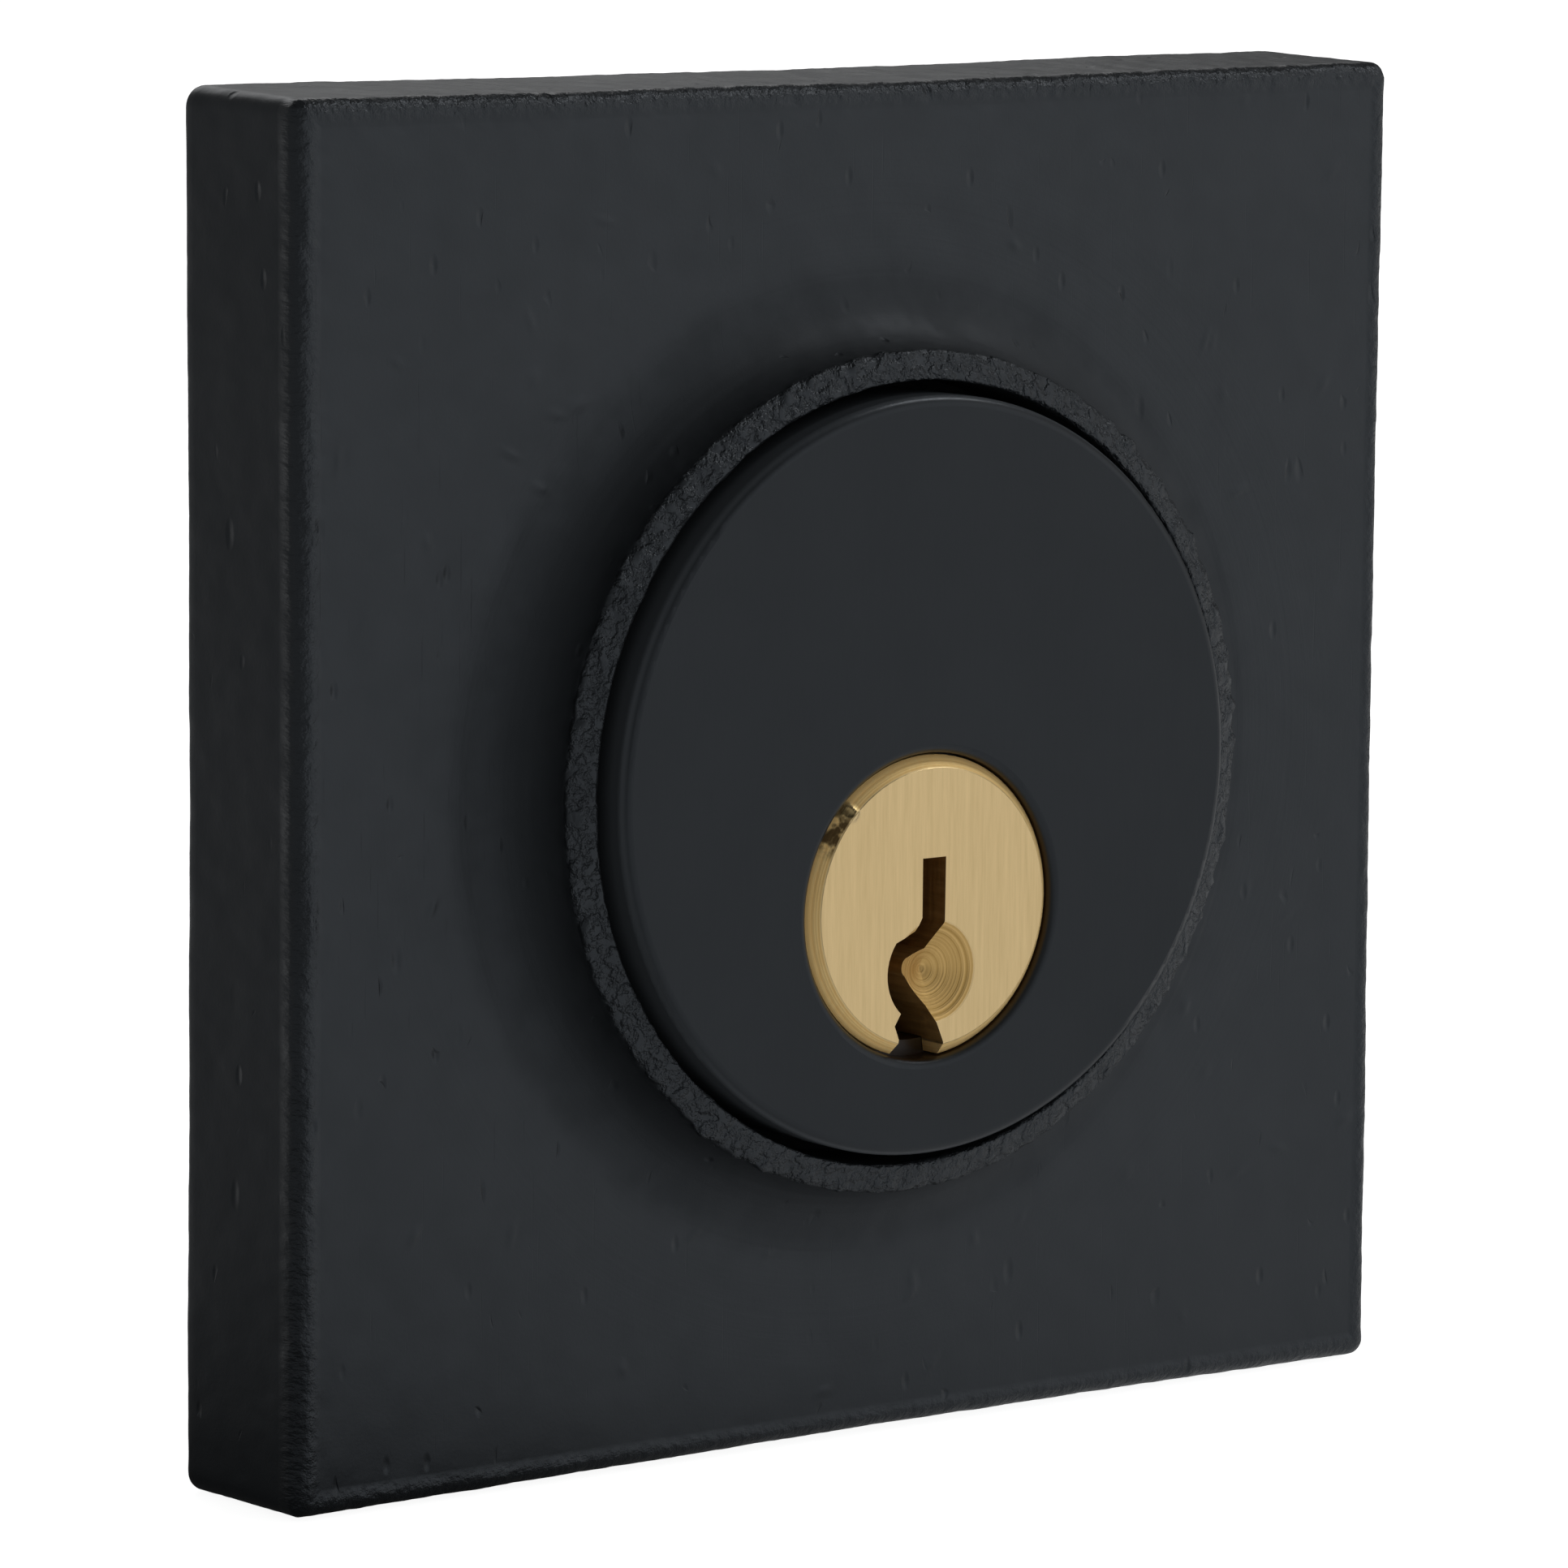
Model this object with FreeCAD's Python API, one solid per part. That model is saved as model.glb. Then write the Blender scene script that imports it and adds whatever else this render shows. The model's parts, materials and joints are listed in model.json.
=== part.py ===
"""Keyed outside half of a square-rose deadbolt lock.

Millimetres.  X runs across the door, Y runs into the door and Z is up.  The origin is the centre of
the rose on the door's outside surface, so the rose stands out towards -Y and the tailpiece runs
towards +Y.
"""
import FreeCAD, Part
import math
import os

V = FreeCAD.Vector

# rose: a cast square shell with a flared round collar
ROSE_FRONT_HALF = 31.65
ROSE_BACK_HALF = 31.85
ROSE_DEPTH = 8.9
ROSE_CORNER_R = 1.1
ROSE_EDGE_R = 0.8
ROSE_BACK_EDGE_R = 0.5
ROSE_WALL = 3.0
COLLAR_R = 19.5
COLLAR_HEIGHT = 3.8
COLLAR_BORE_R = 18.15
FLARE_R = 3.5
COLLAR_LIP_R = 0.25
SEAT_FRONT_Y = -7.7
SEAT_R = 15.1
BOSS_R = 3.4
BOSS_ROOT = 0.5

# lock cylinder
HEAD_R = 17.55
FACE_Y = -14.0
HEAD_BACK_Y = -8.15
HEAD_EDGE_R = 0.5
BARREL_R = 14.65
BARREL_BACK_Y = 15.1
THREAD_PITCH = 0.794
THREAD_DEPTH = 0.45
THREAD_START_Y = -4.6
FACE_HOLE_EDGE_R = 0.45

# plug, turning about an axis below the centre of the cylinder
PLUG_Z = -6.0
PLUG_R = 6.33
PLUG_FACE_Y = -14.1
PLUG_BACK_Y = 15.3
FLANGE_R = 7.0
FLANGE_LENGTH = 1.6
FLANGE_BEVEL = 0.55
RUNNING_GAP = 0.05
KEYWAY_END_Y = 12.0
DIMPLE_R = 2.4
DIMPLE_DEPTH = 1.1
DIMPLE_X = 0.1
DIMPLE_DROP = 3.0

# the key slot's outline, as (across, up) from the plug's axis
KEYWAY_LEFT = [(-0.6, 2.3), (-0.6, -0.45), (-0.95, -1.05), (-2.1, -1.5)]
KEYWAY_LEFT_BOW = [(-2.1, -1.5), (-2.6, -2.95), (-1.8, -4.8)]
KEYWAY_LEFT_FOOT = [(-1.8, -4.8), (-2.15, -5.35), (-1.9, -6.0), (-2.3, -8.5)]
KEYWAY_RIGHT_FOOT = [(1.0, -8.5), (0.68, -6.3), (0.3, -5.4), (-0.1, -4.6), (-1.25, -3.15)]
KEYWAY_RIGHT_NOSE = [(-1.25, -3.15), (-1.5, -2.6), (-1.1, -2.3)]
KEYWAY_RIGHT = [(-1.1, -2.3), (0.02, -2.0), (0.72, -0.8), (0.75, 2.3), (-0.6, 2.3)]

# pin stacks
PIN_COUNT = 5
PIN_PITCH = 3.96
FIRST_PIN_Y = -7.5
PIN_R = 1.46
CHAMBER_R = 1.51
PIN_EDGE = 0.25
CHAMBER_FLOOR_Z = -6.4
PIN_TOP_Z = 0.22
KEY_PIN_LENGTHS = (4.2, 5.7, 4.95, 6.2, 4.6)
KEY_PIN_TIP_R = 0.5
KEY_PIN_TIP_HEIGHT = 1.0
DRIVER_BASE_Z = 0.36
DRIVER_LENGTH = 4.6
SPRING_R = 1.1
SPRING_WIRE_R = 0.16
SPRING_TURNS = 9
COVER_Z = 13.15
COVER_THICKNESS = 0.9
COVER_HALF_WIDTH = 1.9
COVER_END_GAP = 2.2
COVER_GAP = 0.02

# tailpiece and what holds it on the plug
BLADE_WIDTH = 5.6
BLADE_THICKNESS = 1.8
BLADE_END_Y = 46.0
BLADE_HEAD_WIDTH = 7.6
BLADE_HEAD_LENGTH = 2.0
BLADE_GAP = 0.1
BLADE_TIP_CHAMFER = 0.6
CAP_R = 8.0
CAP_FRONT_Y = 15.35
CAP_THICKNESS = 2.2
CAP_CHAMFER = 0.5
CAP_SCREW_X = 4.6
CAP_SCREW_R = 0.95
CAP_SCREW_LENGTH = 4.5
CAP_SCREW_HEAD_R = 1.8
CAP_SCREW_HEAD_HEIGHT = 1.2
CAP_SCREW_TURNS = (20, 75)

# mounting hardware behind the rose
PLATE_R = 26.0
PLATE_THICKNESS = 2.0
PLATE_BORE_R = 14.85
POST_X = 20.64
POST_R = 3.8
POST_THREAD_R = 2.1
POST_END_Y = 9.0
POST_NECK_R = 3.0
POST_CHAMFER = 0.5
PLATE_SCREW_Z = 21.2
PLATE_SCREW_R = 1.5
PLATE_SCREW_LENGTH = 5.0
PLATE_SCREW_HEAD_R = 2.8
PLATE_SCREW_HEAD_HEIGHT = 1.3
PLATE_SCREW_TURNS = (35, 110)
NUT_R = 16.5
NUT_BORE_R = 14.7
NUT_THICKNESS = 2.6
NUT_NOTCH_WIDTH = 3.0
NUT_NOTCH_DEPTH = 0.9
NUT_NOTCH_START = 45
WASHER_R_IN = 15.2
WASHER_R_OUT = 17.2
WASHER_GAP = 0.05

SCREW_SLOT_WIDTH = 0.7
SCREW_SLOT_DEPTH = 0.6
SCREW_HEAD_ROUNDING = 0.4
CLEARANCE = 0.1

# how far a cutting solid runs on past the face that it opens
OVERRUN = 1.0


def cylinder(radius, y0, y1, x=0.0, z=0.0):
    """A cylinder along Y between two depths."""
    return Part.makeCylinder(radius, y1 - y0, V(x, y0, z), V(0, 1, 0))


def ring(radius, bore, y0, y1):
    return cylinder(radius, y0, y1).cut(cylinder(bore, y0 - OVERRUN, y1 + OVERRUN))


def block(x0, x1, y0, y1, z0, z1):
    return Part.makeBox(x1 - x0, y1 - y0, z1 - z0, V(x0, y0, z0))


def revolve_y(edges, x=0.0, z=0.0):
    """Turn a closed outline, drawn in the XY plane with X as the radius, about the Y direction."""
    face = Part.Face(Part.Wire(edges))
    solid = face.revolve(V(0, 0, 0), V(0, 1, 0), 360)
    solid.translate(V(x, 0, z))
    return solid


def polygon_edges(points):
    closed = points + [points[0]]
    return [Part.LineSegment(a, b).toShape() for a, b in zip(closed, closed[1:])]


def rounded_square(half, radius, y):
    """A square outline with round corners, in a plane across Y."""
    inner = half - radius
    mid = radius * math.sqrt(0.5)
    edges = []
    for quarter in range(4):
        turn = FreeCAD.Rotation(V(0, 1, 0), 90 * quarter)
        place = FreeCAD.Placement(V(0, y, 0), turn)
        line = Part.LineSegment(V(-inner, 0, half), V(inner, 0, half)).toShape()
        arc = Part.Arc(V(inner, 0, half), V(inner + mid, 0, inner + mid), V(half, 0, inner)).toShape()
        for edge in (line, arc):
            edge.Placement = place
            edges.append(edge)
    return Part.Wire(Part.__sortEdges__(edges))


def edges_at(shape, y, tolerance=1e-4):
    """Edges that lie wholly at one depth."""
    found = []
    for edge in shape.Edges:
        box = edge.BoundBox
        if abs(box.YMin - y) < tolerance and abs(box.YMax - y) < tolerance:
            found.append(edge)
    return found


def pin_y(index):
    return FIRST_PIN_Y + index * PIN_PITCH


def collar():
    """The round collar, which flares into the face of the rose."""
    face_y = -ROSE_DEPTH
    top_y = face_y - COLLAR_HEIGHT
    base_r = COLLAR_R + FLARE_R
    start_y = face_y - FLARE_R
    bend = FLARE_R * (1 - math.sqrt(0.5))
    lip = COLLAR_LIP_R
    points = [
        V(base_r, face_y, 0),
        V(base_r, face_y + OVERRUN, 0),
        V(SEAT_R, face_y + OVERRUN, 0),
        V(SEAT_R, top_y, 0),
        V(COLLAR_R - lip, top_y, 0),
        V(COLLAR_R, top_y + lip, 0),
        V(COLLAR_R, start_y, 0),
    ]
    edges = [Part.LineSegment(a, b).toShape() for a, b in zip(points, points[1:])]
    middle = V(COLLAR_R + bend, face_y - bend, 0)
    edges.append(Part.Arc(points[-1], middle, points[0]).toShape())
    return revolve_y(edges)


def rose():
    """The cast rose: a hollow square shell, its collar, the cylinder's seat and two screw bosses."""
    back = rounded_square(ROSE_BACK_HALF, ROSE_CORNER_R, 0)
    front = rounded_square(ROSE_FRONT_HALF, ROSE_CORNER_R, -ROSE_DEPTH)
    body = Part.makeLoft([back, front], True, True)
    body = body.makeFillet(ROSE_EDGE_R, edges_at(body, -ROSE_DEPTH))
    body = body.makeFillet(ROSE_BACK_EDGE_R, edges_at(body, 0))
    body = body.fuse(collar())
    inner = ROSE_FRONT_HALF - ROSE_WALL
    floor_y = -ROSE_DEPTH + ROSE_WALL
    outline = rounded_square(inner, ROSE_CORNER_R, floor_y)
    body = body.cut(Part.Face(outline).extrude(V(0, OVERRUN - floor_y, 0)))
    for side in (-1, 1):
        boss = cylinder(BOSS_R, floor_y - BOSS_ROOT, -PLATE_THICKNESS, 0, side * PLATE_SCREW_Z)
        hole = cylinder(PLATE_SCREW_R + CLEARANCE, floor_y - BOSS_ROOT, 0, 0, side * PLATE_SCREW_Z)
        body = body.fuse(boss).cut(hole)
    front_y = -ROSE_DEPTH - COLLAR_HEIGHT
    body = body.cut(cylinder(COLLAR_BORE_R, front_y - OVERRUN, SEAT_FRONT_Y))
    body = body.cut(cylinder(SEAT_R, front_y - OVERRUN, OVERRUN))
    return body.removeSplitter()


def barrel_outline():
    """The outline from the head's rounded edge, over the thread's grooves, to the middle of the face."""
    points = [
        V(HEAD_R, FACE_Y + HEAD_EDGE_R, 0),
        V(HEAD_R, HEAD_BACK_Y, 0),
        V(BARREL_R, HEAD_BACK_Y, 0),
        V(BARREL_R, THREAD_START_Y, 0),
    ]
    root_r = BARREL_R - THREAD_DEPTH
    turns = int((BARREL_BACK_Y - THREAD_START_Y) / THREAD_PITCH)
    for turn in range(turns):
        y = THREAD_START_Y + turn * THREAD_PITCH
        points.append(V(root_r, y + THREAD_PITCH / 2, 0))
        points.append(V(BARREL_R, y + THREAD_PITCH, 0))
    points.append(V(root_r, BARREL_BACK_Y, 0))
    points.append(V(0, BARREL_BACK_Y, 0))
    points.append(V(0, FACE_Y, 0))
    points.append(V(HEAD_R - HEAD_EDGE_R, FACE_Y, 0))
    return points


def cylinder_body():
    """The lock cylinder: a round head, a threaded barrel, the plug's bore and the pin chambers."""
    points = barrel_outline()
    edges = [Part.LineSegment(a, b).toShape() for a, b in zip(points, points[1:])]
    bend = HEAD_EDGE_R * (1 - math.sqrt(0.5))
    middle = V(HEAD_R - bend, FACE_Y + bend, 0)
    edges.append(Part.Arc(points[-1], middle, points[0]).toShape())
    body = revolve_y(edges)
    flange_back = PLUG_FACE_Y + FLANGE_LENGTH + RUNNING_GAP
    hole_r = FLANGE_R + CLEARANCE
    body = body.cut(cylinder(hole_r, FACE_Y - OVERRUN, flange_back, 0, PLUG_Z))
    rim = [edge for edge in edges_at(body, FACE_Y) if edge.BoundBox.XMax < hole_r + CLEARANCE]
    body = body.makeFillet(FACE_HOLE_EDGE_R, rim)
    body = body.cut(cylinder(PLUG_R + RUNNING_GAP, FACE_Y, BARREL_BACK_Y + OVERRUN, 0, PLUG_Z))
    chamber_height = COVER_Z - PLUG_Z + OVERRUN
    for index in range(PIN_COUNT):
        body = body.cut(Part.makeCylinder(CHAMBER_R, chamber_height, V(0, pin_y(index), PLUG_Z)))
    return body.cut(cover_block(COVER_GAP, BARREL_R))


def cover_block(gap, top):
    """The chamber cover's space, or the cover itself with no gap."""
    y0 = pin_y(0) - COVER_END_GAP
    y1 = pin_y(PIN_COUNT - 1) + COVER_END_GAP
    w = COVER_HALF_WIDTH
    return block(-w - gap, w + gap, y0 - gap, y1 + gap, COVER_Z - gap, top)


def chamber_cover():
    """The strip that closes the tops of the pin chambers."""
    return cover_block(0, COVER_Z + COVER_THICKNESS)


def keyway():
    """The warded key slot, open along the bottom of the plug."""

    def at(points):
        return [V(x, 0, z + PLUG_Z) for x, z in points]

    foot = [KEYWAY_LEFT_FOOT[-1], KEYWAY_RIGHT_FOOT[0]]
    edges = []
    for run in (KEYWAY_LEFT, KEYWAY_LEFT_FOOT, foot, KEYWAY_RIGHT_FOOT, KEYWAY_RIGHT):
        run = at(run)
        edges += [Part.LineSegment(a, b).toShape() for a, b in zip(run, run[1:])]
    for bow in (KEYWAY_LEFT_BOW, KEYWAY_RIGHT_NOSE):
        edges.append(Part.Arc(*at(bow)).toShape())
    outline = Part.Wire(Part.__sortEdges__(edges))
    start_y = PLUG_FACE_Y - OVERRUN
    slot = Part.Face(outline).extrude(V(0, KEYWAY_END_Y - start_y, 0))
    slot.translate(V(0, start_y, 0))
    return slot


def plug():
    """The brass plug that the key turns."""
    f = PLUG_FACE_Y
    points = [
        V(0, f, 0),
        V(FLANGE_R - FLANGE_BEVEL, f, 0),
        V(FLANGE_R, f + FLANGE_BEVEL, 0),
        V(FLANGE_R, f + FLANGE_LENGTH, 0),
        V(PLUG_R, f + FLANGE_LENGTH, 0),
        V(PLUG_R, PLUG_BACK_Y, 0),
        V(0, PLUG_BACK_Y, 0),
    ]
    body = revolve_y(polygon_edges(points), 0, PLUG_Z)
    dimple = Part.makeCone(DIMPLE_R, 0, DIMPLE_DEPTH, V(DIMPLE_X, f, PLUG_Z - DIMPLE_DROP), V(0, 1, 0))
    body = body.cut(dimple).cut(keyway())
    for index in range(PIN_COUNT):
        body = body.cut(Part.makeCylinder(CHAMBER_R, PLUG_R + OVERRUN, V(0, pin_y(index), CHAMBER_FLOOR_Z)))
    head = BLADE_HEAD_WIDTH / 2 + BLADE_GAP
    thick = BLADE_THICKNESS / 2 + BLADE_GAP
    slot_y = PLUG_BACK_Y - BLADE_HEAD_LENGTH - BLADE_GAP
    end_y = PLUG_BACK_Y + OVERRUN
    body = body.cut(block(-thick, thick, slot_y, end_y, PLUG_Z - head, PLUG_Z + head))
    hole_r = CAP_SCREW_R + RUNNING_GAP
    for side in (-1, 1):
        body = body.cut(cylinder(hole_r, PLUG_BACK_Y - CAP_SCREW_LENGTH, end_y, side * CAP_SCREW_X, PLUG_Z))
    return body


def key_pin(index):
    """A bottom pin, whose pointed end rides on the key's cut."""
    top = PIN_TOP_Z
    low = top - KEY_PIN_LENGTHS[index]
    points = [
        V(0, low, 0),
        V(KEY_PIN_TIP_R, low, 0),
        V(PIN_R, low + KEY_PIN_TIP_HEIGHT, 0),
        V(PIN_R, top - PIN_EDGE, 0),
        V(PIN_R - PIN_EDGE, top, 0),
        V(0, top, 0),
    ]
    return upright(revolve_y(polygon_edges(points)), index)


def driver_pin(index):
    """A driver pin, which blocks the plug when no key holds it up."""
    low = DRIVER_BASE_Z
    top = low + DRIVER_LENGTH
    points = [
        V(0, low, 0),
        V(PIN_R - PIN_EDGE, low, 0),
        V(PIN_R, low + PIN_EDGE, 0),
        V(PIN_R, top - PIN_EDGE, 0),
        V(PIN_R - PIN_EDGE, top, 0),
        V(0, top, 0),
    ]
    return upright(revolve_y(polygon_edges(points)), index)


def upright(solid, index):
    """Stand a solid that was turned about Y on its pin chamber's axis."""
    solid.rotate(V(0, 0, 0), V(1, 0, 0), 90)
    solid.translate(V(0, pin_y(index), 0))
    return solid


def pin_spring(index):
    """The coil spring above a driver pin."""
    low = DRIVER_BASE_Z + DRIVER_LENGTH + SPRING_WIRE_R + RUNNING_GAP
    high = COVER_Z - SPRING_WIRE_R - RUNNING_GAP
    helix = Part.makeHelix((high - low) / SPRING_TURNS, high - low, SPRING_R)
    wire = Part.Wire(helix.Edges)
    section = Part.Wire(Part.makeCircle(SPRING_WIRE_R, V(SPRING_R, 0, 0), V(0, 1, 0)))
    coil = wire.makePipeShell([section], True, True)
    coil.translate(V(0, pin_y(index), low))
    return coil


def tailpiece():
    """The flat blade that carries the plug's turn to the bolt."""
    t = BLADE_THICKNESS / 2
    w = BLADE_WIDTH / 2
    h = BLADE_HEAD_WIDTH / 2
    y0 = PLUG_BACK_Y - BLADE_HEAD_LENGTH
    head = block(-t, t, y0, PLUG_BACK_Y, PLUG_Z - h, PLUG_Z + h)
    blade = block(-t, t, y0, BLADE_END_Y, PLUG_Z - w, PLUG_Z + w)
    blade = blade.makeChamfer(BLADE_TIP_CHAMFER, edges_at(blade, BLADE_END_Y))
    return head.fuse(blade).removeSplitter()


def tailpiece_cap():
    """The round cap that traps the tailpiece's head against the plug."""
    y1 = CAP_FRONT_Y + CAP_THICKNESS
    cap = cylinder(CAP_R, CAP_FRONT_Y, y1, 0, PLUG_Z)
    cap = cap.makeChamfer(CAP_CHAMFER, edges_at(cap, y1))
    y0 = CAP_FRONT_Y - OVERRUN
    y2 = y1 + OVERRUN
    w = BLADE_WIDTH / 2 + BLADE_GAP
    t = BLADE_THICKNESS / 2 + BLADE_GAP
    cap = cap.cut(block(-t, t, y0, y2, PLUG_Z - w, PLUG_Z + w))
    for side in (-1, 1):
        cap = cap.cut(cylinder(CAP_SCREW_R + RUNNING_GAP, y0, y2, side * CAP_SCREW_X, PLUG_Z))
    return cap


def screw(x, z, seat_y, radius, length, head_r, head_height, slot_angle):
    """A slotted screw whose head lies behind a seat and whose shank runs towards the front."""
    head = cylinder(head_r, seat_y, seat_y + head_height, x, z)
    top = seat_y + head_height
    head = head.makeFillet(head_height * SCREW_HEAD_ROUNDING, edges_at(head, top))
    half = SCREW_SLOT_WIDTH / 2
    reach = head_r + OVERRUN
    slot = block(x - half, x + half, top - SCREW_SLOT_DEPTH, top + OVERRUN, z - reach, z + reach)
    slot.rotate(V(x, top, z), V(0, 1, 0), slot_angle)
    shank = cylinder(radius, seat_y - length, seat_y, x, z)
    return head.cut(slot).fuse(shank).removeSplitter()


def cap_screws():
    """The two small screws that hold the tailpiece cap on the plug."""
    seat = CAP_FRONT_Y + CAP_THICKNESS
    sizes = (seat, CAP_SCREW_R, CAP_SCREW_LENGTH, CAP_SCREW_HEAD_R, CAP_SCREW_HEAD_HEIGHT)
    left = screw(-CAP_SCREW_X, PLUG_Z, *sizes, CAP_SCREW_TURNS[0])
    right = screw(CAP_SCREW_X, PLUG_Z, *sizes, CAP_SCREW_TURNS[1])
    return Part.makeCompound([left, right])


def mounting_plate():
    """The steel plate behind the rose, which carries the two screw posts."""
    plate = ring(PLATE_R, PLATE_BORE_R, -PLATE_THICKNESS, 0)
    y0 = -PLATE_THICKNESS - OVERRUN
    for side in (-1, 1):
        plate = plate.cut(cylinder(POST_NECK_R, y0, OVERRUN, side * POST_X, 0))
        plate = plate.cut(cylinder(PLATE_SCREW_R + CLEARANCE, y0, OVERRUN, 0, side * PLATE_SCREW_Z))
    return plate


def screw_post(side):
    """A round threaded post that the inside screw runs into."""
    x = side * POST_X
    post = cylinder(POST_R, 0, POST_END_Y, x)
    post = post.makeChamfer(POST_CHAMFER, edges_at(post, POST_END_Y))
    neck = cylinder(POST_NECK_R, -PLATE_THICKNESS, 0, x)
    bore = cylinder(POST_THREAD_R, -PLATE_THICKNESS - OVERRUN, POST_END_Y + OVERRUN, x)
    return post.fuse(neck).removeSplitter().cut(bore)


def plate_screws():
    """The two screws that hold the mounting plate to the rose."""
    sizes = (0, PLATE_SCREW_R, PLATE_SCREW_LENGTH, PLATE_SCREW_HEAD_R, PLATE_SCREW_HEAD_HEIGHT)
    top = screw(0, PLATE_SCREW_Z, *sizes, PLATE_SCREW_TURNS[0])
    bottom = screw(0, -PLATE_SCREW_Z, *sizes, PLATE_SCREW_TURNS[1])
    return Part.makeCompound([top, bottom])


def cylinder_nut():
    """The notched ring nut that clamps the cylinder and the rose to the mounting plate."""
    nut = ring(NUT_R, NUT_BORE_R, 0, NUT_THICKNESS)
    half = NUT_NOTCH_WIDTH / 2
    floor_r = NUT_R - NUT_NOTCH_DEPTH
    for quarter in range(4):
        notch = block(-half, half, -OVERRUN, NUT_THICKNESS + OVERRUN, floor_r, NUT_R + OVERRUN)
        notch.rotate(V(0, 0, 0), V(0, 1, 0), NUT_NOTCH_START + 90 * quarter)
        nut = nut.cut(notch)
    return nut


def spring_washer():
    """The thin ring that takes up the play between the cylinder's head and its seat."""
    return ring(WASHER_R_OUT, WASHER_R_IN, HEAD_BACK_Y + WASHER_GAP, SEAT_FRONT_Y - WASHER_GAP)


def build():
    nodes = {
        "rose": rose(),
        "cylinder_body": cylinder_body(),
        "chamber_cover": chamber_cover(),
        "cylinder_nut": cylinder_nut(),
        "spring_washer": spring_washer(),
        "mounting_plate": mounting_plate(),
        "plate_screws": plate_screws(),
        "screw_post_left": screw_post(-1),
        "screw_post_right": screw_post(1),
        "cylinder_plug": plug(),
        "tailpiece": tailpiece(),
        "tailpiece_cap": tailpiece_cap(),
        "cap_screws": cap_screws(),
    }
    for index in range(PIN_COUNT):
        nodes[f"key_pin_{index + 1}"] = key_pin(index)
        nodes[f"driver_pin_{index + 1}"] = driver_pin(index)
        nodes[f"pin_spring_{index + 1}"] = pin_spring(index)
    return nodes


os.makedirs("parts", exist_ok=True)
for name, shape in build().items():
    shape.exportStep(f"parts/{name}.step")
    print(name, len(shape.Solids), "valid" if shape.isValid() else "INVALID", round(shape.Volume, 1))
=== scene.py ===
"""Looks for the keyed outside half of a square-rose deadbolt, in metres, in the part's own frame."""
import json
import math

import bpy
import numpy as np
from mathutils import Matrix, Vector, noise


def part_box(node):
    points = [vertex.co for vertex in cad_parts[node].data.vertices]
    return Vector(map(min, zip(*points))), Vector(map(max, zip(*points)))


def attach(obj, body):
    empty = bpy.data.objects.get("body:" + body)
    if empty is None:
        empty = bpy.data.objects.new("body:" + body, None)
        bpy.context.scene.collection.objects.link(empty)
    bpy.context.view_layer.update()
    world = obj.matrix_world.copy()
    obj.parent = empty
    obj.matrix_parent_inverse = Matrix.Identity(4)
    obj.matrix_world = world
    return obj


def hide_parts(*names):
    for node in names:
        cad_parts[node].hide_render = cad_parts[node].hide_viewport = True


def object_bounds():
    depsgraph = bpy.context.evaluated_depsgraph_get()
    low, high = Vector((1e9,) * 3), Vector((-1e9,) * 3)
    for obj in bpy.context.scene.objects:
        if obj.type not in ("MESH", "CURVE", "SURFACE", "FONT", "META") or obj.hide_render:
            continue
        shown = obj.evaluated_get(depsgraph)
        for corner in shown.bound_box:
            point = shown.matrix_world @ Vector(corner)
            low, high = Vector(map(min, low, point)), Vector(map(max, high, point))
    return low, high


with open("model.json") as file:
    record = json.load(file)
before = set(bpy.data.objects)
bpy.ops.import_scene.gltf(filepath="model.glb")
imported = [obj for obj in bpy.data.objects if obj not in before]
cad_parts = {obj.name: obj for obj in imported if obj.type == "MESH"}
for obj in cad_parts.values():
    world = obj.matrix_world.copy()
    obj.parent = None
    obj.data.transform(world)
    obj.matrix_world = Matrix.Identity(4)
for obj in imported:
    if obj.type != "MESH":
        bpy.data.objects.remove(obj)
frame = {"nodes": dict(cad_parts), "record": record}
cad_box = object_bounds()
NODES = frame["nodes"]
MM = 0.001

# ---------------------------------------------------------------- the rose's sizes, in millimetres

rose_low, rose_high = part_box("rose")
TAPER = 0.2
BACK_HALF = rose_high[0] / MM
FRONT_HALF = BACK_HALF - TAPER
BOW = 0.15
FACE_Y = -8.9
RIM_Y = rose_low[1] / MM
BORE_R, RIM_R, FLARE_R = 18.15, 19.5, 3.15
SEAT_Y, SEAT_R = -7.7, 15.1
SEAT_MID_R, SEAT_MID_Y = 16.7, -6.8
EDGE_R, FRONT_CORNER_R, BACK_CORNER_R = 0.8, 0.7, 0.95
BACK_EDGE_R = 0.5
POCKET_HALF, POCKET_Y = 28.65, -5.9
BOSS_Z, BOSS_R, BOSS_HOLE_R, BOSS_END_Y = 21.2, 3.4, 1.6, -2.02
BOSS_ROOT_Y, BOSS_SIDES = POCKET_Y - 0.4, 64

# ---------------------------------------------------------------- material helpers


def new_material(name, colour, roughness, metallic=0.0):
    material = bpy.data.materials.new(name)
    material.use_nodes = True
    shader = material.node_tree.nodes["Principled BSDF"]
    shader.inputs["Base Color"].default_value = (*colour, 1)
    shader.inputs["Roughness"].default_value = roughness
    shader.inputs["Metallic"].default_value = metallic
    return material, shader


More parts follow.
